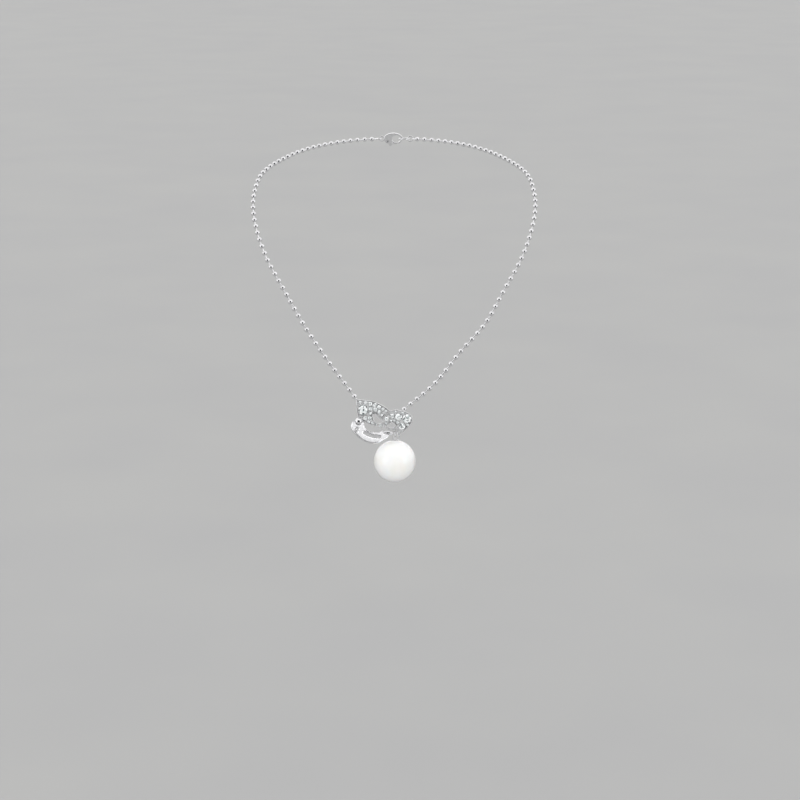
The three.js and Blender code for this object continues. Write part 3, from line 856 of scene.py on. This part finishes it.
def paint_facet_reflections(bm):
    """Paints each facet's reflection: bright for the most part, some grey and a few dark."""
    layer = bm.faces.layers.float.new(FACET_REFLECTION)
    for face in bm.faces:
        chance = reflection_and_spin_dice.random()
        if chance < DARK_CHANCE:
            face[layer] = 0.05
        elif chance < DARK_CHANCE + GREY_CHANCE:
            face[layer] = reflection_and_spin_dice.uniform(0.3, 0.6)
        else:
            face[layer] = reflection_and_spin_dice.uniform(0.75, 1.0)


def cut_stone(node, turn):
    centre, radius, table, back = seat_of(node, turn)
    bm = brilliant(radius, back - table)
    paint_facet_reflections(bm)
    spin = Matrix.Rotation(reflection_and_spin_dice.uniform(0, math.pi), 4, "Z")
    place = turn @ front_facing(centre.x, back, centre.z) @ spin
    bmesh.ops.transform(bm, matrix=place, verts=bm.verts)
    finish_piece(f"cut_{node}", bm, [crystal], "butterfly", [node], smooth=False)


for stones in SET_STONES.values():
    for node in stones:
        cut_stone(node, wing_turn)

# %% [markdown]
# ## Head, body and lug
# The butterfly's head is a polished ball with a collar of solder behind it. The body
# is a slim spindle, turned with shallow grooves like an insect's, and ends in the lug
# that the pearl's ring passes through. Both are turned shapes, so a profile and a
# spin make them.

# %% Head ball
COLLAR_SHARE, COLLAR_WIRE = 0.80, 0.2 * MM


def wing_place(point, direction):
    """Places a shape made along Z at a point given in the wings' directions."""
    return wing_turn @ aimed(point, direction)


low, high = turned_box("head_ball", wing_turn)
head_centre, head_r = (low + high) / 2, (high.y - low.y) / 2
bm = bmesh.new()
arc = [math.pi * i / 32 for i in range(33)]
turned(bm, [(head_r * math.sin(a), -head_r * math.cos(a)) for a in arc],
       wing_place(head_centre, Vector((0, -1, 0))), 48)
behind = head_centre + Vector((0, 0.55 * head_r, 0))
wire_ring(bm, wing_place(behind, Vector((0, -1, 0))), head_r * COLLAR_SHARE, COLLAR_WIRE, 48, 10)
finish_piece("head_ball_polished", bm, [bright_silver], "butterfly",
             ["head_ball"])

# %% [markdown]
# ## Body and lug
# The spindle's radius follows a sine raised to a low power, which is blunt at both
# ends, and shallow grooves are cut into it at even steps. The lug hangs where the CAD
# ring's top passes through it, so its middle is measured from the ring and the body.

# %% Body and lug
LUG_R, LUG_WIRE = 0.7 * MM, 0.22 * MM
RING_WIRE = 0.2 * MM
LINK_PLAY = 0.11 * MM
SPINDLE_FROM = Vector((-5.25, 0, 0.55)) * MM     # from the lug's middle
SPINDLE_TO = Vector((-0.7, 0, -0.35)) * MM
SPINDLE_R = 0.93 * MM
SPINDLE_BLUNT = 0.55
GROOVES, GROOVE_DEPTH = 6, 0.09

ring_low, ring_high = turned_box("pearl_ring", wing_turn)
_, body_high = turned_box("butterfly_body", wing_turn)
lug_centre = Vector((body_high.x - LUG_R - LUG_WIRE, (ring_low.y + ring_high.y) / 2,
                     ring_high.z - 2 * RING_WIRE - LINK_PLAY - LUG_WIRE + LUG_R))


def spindle_profile(length):
    points = []
    for i in range(41):
        share = i / 40
        swell = math.sin(math.pi * share) ** SPINDLE_BLUNT
        wave = 0.5 - 0.5 * math.cos(2 * math.pi * GROOVES * share)
        groove = 1 - GROOVE_DEPTH * wave ** 4
        points.append((SPINDLE_R * swell * groove, share * length))
    return points


start, end = lug_centre + SPINDLE_FROM, lug_centre + SPINDLE_TO
bm = bmesh.new()
turned(bm, spindle_profile((end - start).length), wing_place(start, end - start), 32)
wire_ring(bm, wing_place(lug_centre, Vector((0, 1, 0))), LUG_R, LUG_WIRE)
finish_piece("spindle_body_and_lug", bm, [bright_silver], "butterfly",
             ["butterfly_body"])

# %% [markdown]
# ## The pearl's ring
# A loose ring joins the lug to the loop on the pearl's cap. It is bent from round wire
# and soldered shut, so it is a full turn of a round section.

# %% Pearl ring
bm = bmesh.new()
ring_r = ring_high.z / 2 - ring_low.z / 2 - RING_WIRE
wire_ring(bm, wing_place((ring_low + ring_high) / 2, Vector((1, 0, 0))), ring_r, RING_WIRE, 56)
finish_piece("pearl_ring_wire", bm, [bright_silver], "pearl_ring",
             ["pearl_ring"])

# %% [markdown]
# ## Cap and peg
# The cap is a thin dished cup with a beaded edge, and its peg is glued into the hole
# drilled in the pearl. Peg, underside, rim and top are one profile, spun once. The
# beads of the edge are small balls and the loop on top is a ring of wire.

# %% Beaded cap
LOOP_R, LOOP_WIRE = 0.75 * MM, 0.2 * MM
CAP_T, CAP_GAP, CAP_R = 0.35 * MM, 0.1 * MM, 1.8 * MM
PEG_R, PEG_L = 0.5 * MM, 6 * MM
EDGE_BEADS, EDGE_BEAD_R = 22, 0.16 * MM

pearl_low, pearl_high = turned_box("pearl", wing_turn)
cap_low, cap_high = turned_box("pearl_cap", wing_turn)
pearl_r = (pearl_high.y - pearl_low.y) / 2
pearl_centre = Vector(((cap_low.x + cap_high.x) / 2, (cap_low.y + cap_high.y) / 2,
                       pearl_low.z + pearl_r))
UP = Vector((0, 0, 1))


def dish(radius, shares):
    """Points along the cap's curve, as shares of its half angle."""
    return [(radius * math.sin(half_angle * s), radius * math.cos(half_angle * s))
            for s in shares]


bm = bmesh.new()
inner, outer = pearl_r + CAP_GAP, pearl_r + CAP_GAP + CAP_T
half_angle = math.asin((CAP_R - 0.1 * MM) / outer)
under = dish(inner, (0.5, 0.8, 1.0))
above = dish(outer, (1.0, 0.85, 0.6, 0.4))
peg = [(0, pearl_r - PEG_L), (PEG_R, pearl_r - PEG_L), (PEG_R, inner)]
collar = [(0.45 * MM, outer + 0.07 * MM), (0, outer + 0.1 * MM)]
turned(bm, peg + under + above + collar, wing_place(pearl_centre, UP), 40)
for i in range(EDGE_BEADS):
    angle = 2 * math.pi * i / EDGE_BEADS
    outward = Vector((math.cos(angle), math.sin(angle), 0)) * outer * math.sin(half_angle)
    spot = pearl_centre + outward + UP * (inner + CAP_T / 2) * math.cos(half_angle)
    bmesh.ops.create_uvsphere(bm, u_segments=8, v_segments=6, radius=EDGE_BEAD_R,
                              matrix=wing_turn @ Matrix.Translation(spot))
loop_centre = Vector((pearl_centre.x, pearl_centre.y, cap_high.z - LOOP_R - LOOP_WIRE))
wire_ring(bm, wing_place(loop_centre, Vector((0, 1, 0))), LOOP_R, LOOP_WIRE)
finish_piece("beaded_cap_and_peg", bm, [bright_silver], "pearl_drop",
             ["pearl_cap"], sharp=60)

# %% [markdown]
# ## The pearl itself
# The profile starts at the bottom of the drilled hole, runs up its wall, turns over a
# small chamfer at the mouth and follows the ball to its far pole. Spun round, that
# gives a pearl that is truly drilled, where a plain ball would have the peg cut into it.

# %% Drilled pearl
HOLE_R, HOLE_EXTRA = 0.65 * MM, 0.2 * MM     # the hole is this much deeper than the peg
MOUTH_FLARE, MOUTH_DEPTH = 0.08 * MM, 0.12 * MM

bm = bmesh.new()
mouth = math.asin((HOLE_R + MOUTH_FLARE) / pearl_r)
arc = [mouth + (math.pi - mouth) * i / 44 for i in range(45)]
bottom = pearl_r - PEG_L - HOLE_EXTRA
hole = [(0, bottom), (HOLE_R, bottom), (HOLE_R, pearl_r - MOUTH_DEPTH)]
turned(bm, hole + [(pearl_r * math.sin(a), pearl_r * math.cos(a)) for a in arc],
       wing_place(pearl_centre, UP), 96)
finish_piece("drilled_pearl", bm, [nacre], "pearl_drop", ["pearl"], sharp=60)

# %% [markdown]
# ## Clasp
# A lobster clasp is cast, so its body and lever have soft edges everywhere. The CAD
# solids have the right cuts but hard edges. A voxel remesh rebuilds them on an even
# grid and a light smoothing rounds what was sharp, which is how tumbling rounds a
# casting. The lever turns on a rivet with chamfered ends. The spring in the clasp
# keeps its CAD shape and takes the steel finish.

# %% Clasp body, lever, rivet and spring
VOXEL = 0.1 * MM
RIVET_CHAMFER = 0.1 * MM


def tumbled(node, body, name):
    piece = finish_piece(name, cad_copy(node), [bright_silver], body, [node])
    grid = piece.modifiers.new("even_grid", "REMESH")
    grid.mode = "VOXEL"
    grid.voxel_size = VOXEL
    grid.use_smooth_shade = True
    rub = piece.modifiers.new("tumbled", "SMOOTH")
    rub.factor = 0.5
    rub.iterations = 5


tumbled("clasp_body", "clasp", "cast_clasp_body")
tumbled("clasp_lever", "clasp_lever", "cast_clasp_lever")

pin_low, pin_high = (Vector(corner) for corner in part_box("clasp_pin"))
pin_r = (pin_high.x - pin_low.x) / 2
half = (pin_high.y - pin_low.y) / 2
bm = bmesh.new()
profile = [(0, -half), (pin_r * 0.7, -half), (pin_r, -half + RIVET_CHAMFER),
           (pin_r, half - RIVET_CHAMFER), (pin_r * 0.7, half), (0, half)]
turned(bm, profile, aimed((pin_low + pin_high) / 2, Vector((0, 1, 0))), 28)
finish_piece("clasp_rivet", bm, [spring_steel], "clasp", ["clasp_pin"], sharp=40)

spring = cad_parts["clasp_spring"].data
spring.materials.clear()
spring.materials.append(spring_steel)

# %% [markdown]
# ## Jump ring
# The clasp hooks into a jump ring, which has a fine cut where pliers open it. So its
# round section is spun almost all the way round and both ends stay capped.

# %% Split jump ring
JUMP_WIRE = 0.31 * MM
JUMP_CAD_WIRE = 0.35 * MM     # the CAD wire is thicker, and the ring's middle line stays
JUMP_CUT = math.radians(3)

ring_lo, ring_hi = (Vector(corner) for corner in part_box("jump_ring"))
ring_r = (ring_hi.x - ring_lo.x) / 2 - JUMP_CAD_WIRE
bm = bmesh.new()
bmesh.ops.create_circle(bm, cap_ends=True, segments=14, radius=JUMP_WIRE)
bmesh.ops.rotate(bm, matrix=Matrix.Rotation(math.radians(90), 3, "X"), verts=bm.verts)
bmesh.ops.translate(bm, vec=(ring_r, 0, 0), verts=bm.verts)
bmesh.ops.spin(bm, geom=bm.faces[:] + bm.edges[:] + bm.verts[:], cent=(0, 0, 0), axis=(0, 0, 1),
               angle=2 * math.pi - JUMP_CUT, steps=72)
bmesh.ops.recalc_face_normals(bm, faces=bm.faces)
bmesh.ops.translate(bm, vec=(ring_lo + ring_hi) / 2, verts=bm.verts)
finish_piece("split_jump_ring", bm, [bright_silver], "nape", ["jump_ring"],
             sharp=50)

# %% [markdown]
# ## End links
# Each strand ends in a ring soldered to its last pin. The two rings are turned a
# quarter from each other, because one takes the jump ring and the other the clasp.

# %% End links
LINK_R, LINK_WIRE = 1.3 * MM, 0.3 * MM
LINK_PIN_HIDDEN = 0.25 * MM
UPRIGHT, LEVEL = Vector((0, 1, 0)), Vector((0, 0, 1))     # the axes of the two rings

for side, sign, axis in (("left", -1, LEVEL), ("right", 1, UPRIGHT)):
    lo, hi = (Vector(corner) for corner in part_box(f"link_{side}"))
    inner_end = hi.x if sign < 0 else lo.x
    centre = Vector((inner_end + sign * (LINK_R + LINK_WIRE), 0, 0))
    bead = strands[side]["nape"][0]
    bm = bmesh.new()
    wire_ring(bm, aimed(centre, axis), LINK_R, LINK_WIRE, 40, 12)
    toward = (bead - centre).normalized()
    rod(bm, centre + toward * LINK_R, bead - toward * (BEAD_R - LINK_PIN_HIDDEN), PIN_R)
    finish_piece(f"end_link_{side}", bm, [bright_silver], "nape",
                 [f"link_{side}"], sharp=50)

# %% [markdown]
# ## Floor
# The necklace is shown by itself, held where the neck would be. The floor is pale
# paper with a barely cloudy tone, far enough below that only a faint shadow falls on
# it. It belongs to the stage and not to the piece.

# %% Paper floor
FLOOR_Z = -265 * MM
bpy.context.scene.view_settings.view_transform = "Standard"


def paper_finish():
    material, nodes, links, shader = new_material("pale_paper")
    coords = nodes.new("ShaderNodeTexCoord")
    fibre = noise(nodes, links, coords, 9)
    color = ramp(nodes, links, fibre.outputs["Fac"],
                 [(0.3, (0.44, 0.44, 0.44)), (0.7, (0.455, 0.455, 0.45))])
    links.new(color.outputs["Color"], shader.inputs["Base Color"])
    shader.inputs["Roughness"].default_value = 0.95
    return material


mesh = bpy.data.meshes.new("paper_floor")
bm = bmesh.new()
bmesh.ops.create_grid(bm, x_segments=1, y_segments=1, size=6)
bmesh.ops.translate(bm, vec=(0, 0, FLOOR_Z), verts=bm.verts)
bm.to_mesh(mesh)
bm.free()
mesh.materials.append(paper_finish())
floor = bpy.data.objects.new("paper_floor", mesh)
bpy.context.scene.collection.objects.link(floor)
floor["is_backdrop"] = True
print("floor at", round(FLOOR_Z / MM), "mm")

# %% [markdown]
# ## Room
# Polished metal shows its surroundings, so the light is mostly a bright room. The
# room is dark only round the camera's side, which puts a dark spot in the middle of
# every ball and keeps its edge white. The camera itself sees an even grey beyond the
# floor, close to the floor's own tone, so that the horizon hardly shows.

# %% Room light
ROOM = 1.08
BACKDROP = 0.50
DARK_SIDE = (0.02, 0.02, 0.025)

world = bpy.data.worlds.new("studio")
bpy.context.scene.world = world
world.use_nodes = True
nodes, links = world.node_tree.nodes, world.node_tree.links
direction = nodes.new("ShaderNodeTexCoord")
toward_front = nodes.new("ShaderNodeVectorMath")
toward_front.operation = "DOT_PRODUCT"
toward_front.inputs[1].default_value = (0, -math.cos(CAMERA_TILT), math.sin(CAMERA_TILT))
links.new(direction.outputs["Generated"], toward_front.inputs[0])
shade = ramp(nodes, links, toward_front.outputs["Value"],
             [(0.50, (ROOM, ROOM, ROOM)), (0.72, DARK_SIDE)])
seen_or_lit = nodes.new("ShaderNodeLightPath")
backdrop = nodes.new("ShaderNodeMix")
backdrop.data_type = "RGBA"
backdrop.inputs["B"].default_value = (BACKDROP, BACKDROP, BACKDROP, 1)
links.new(seen_or_lit.outputs["Is Camera Ray"], backdrop.inputs["Factor"])
links.new(shade.outputs["Color"], backdrop.inputs["A"])
links.new(backdrop.outputs["Result"], nodes["Background"].inputs["Color"])
print("room:", ROOM, "backdrop:", BACKDROP)

# %% [markdown]
# ## Soft boxes and fill
# Three soft boxes add whiter streaks to the metal. They light no matt surface, so they
# throw no pools of light on the floor. A wide fill from the camera's side does the
# opposite: it lights the pearl and the stones and isn't mirrored in the metal.

# %% Soft boxes and fill
FILL_STRENGTH = 2.6
FILL_SOFTNESS = math.radians(60)
PENDANT_SPOT = Vector((0, -126, -110)) * MM


def soft_box(name, place, size, power):
    light = bpy.data.lights.new(name, "AREA")
    light.shape = "RECTANGLE"
    light.size, light.size_y = size
    light.energy = power
    lamp = bpy.data.objects.new(name, light)
    lamp.location = place
    lamp.visible_diffuse = False
    lamp.rotation_euler = (PENDANT_SPOT - lamp.location).to_track_quat("-Z", "Y").to_euler()
    bpy.context.scene.collection.objects.link(lamp)


soft_box("left_soft_box", Vector((-0.85, -0.75, 0.15)), (0.35, 0.9), 1.3)
soft_box("right_soft_box", Vector((0.85, -0.75, 0.15)), (0.35, 0.9), 1.3)
soft_box("top_soft_box", Vector((0, -0.55, 0.75)), (1.2, 0.6), 1.0)

fill_light = bpy.data.lights.new("front_fill", "SUN")
fill_light.energy = FILL_STRENGTH
fill_light.angle = FILL_SOFTNESS
fill = bpy.data.objects.new("front_fill", fill_light)
fill.rotation_euler = forward.to_track_quat("-Z", "Y").to_euler()
fill.visible_glossy = False
bpy.context.scene.collection.objects.link(fill)

# %% [markdown]
# ## Sizes
# The finished pieces should fill the same box as the CAD model. The box round all
# the visible pieces is printed in millimetres.

# %% Sizes
low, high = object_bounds()
print("visual size in mm:", [round(c / MM, 1) for c in high - low])
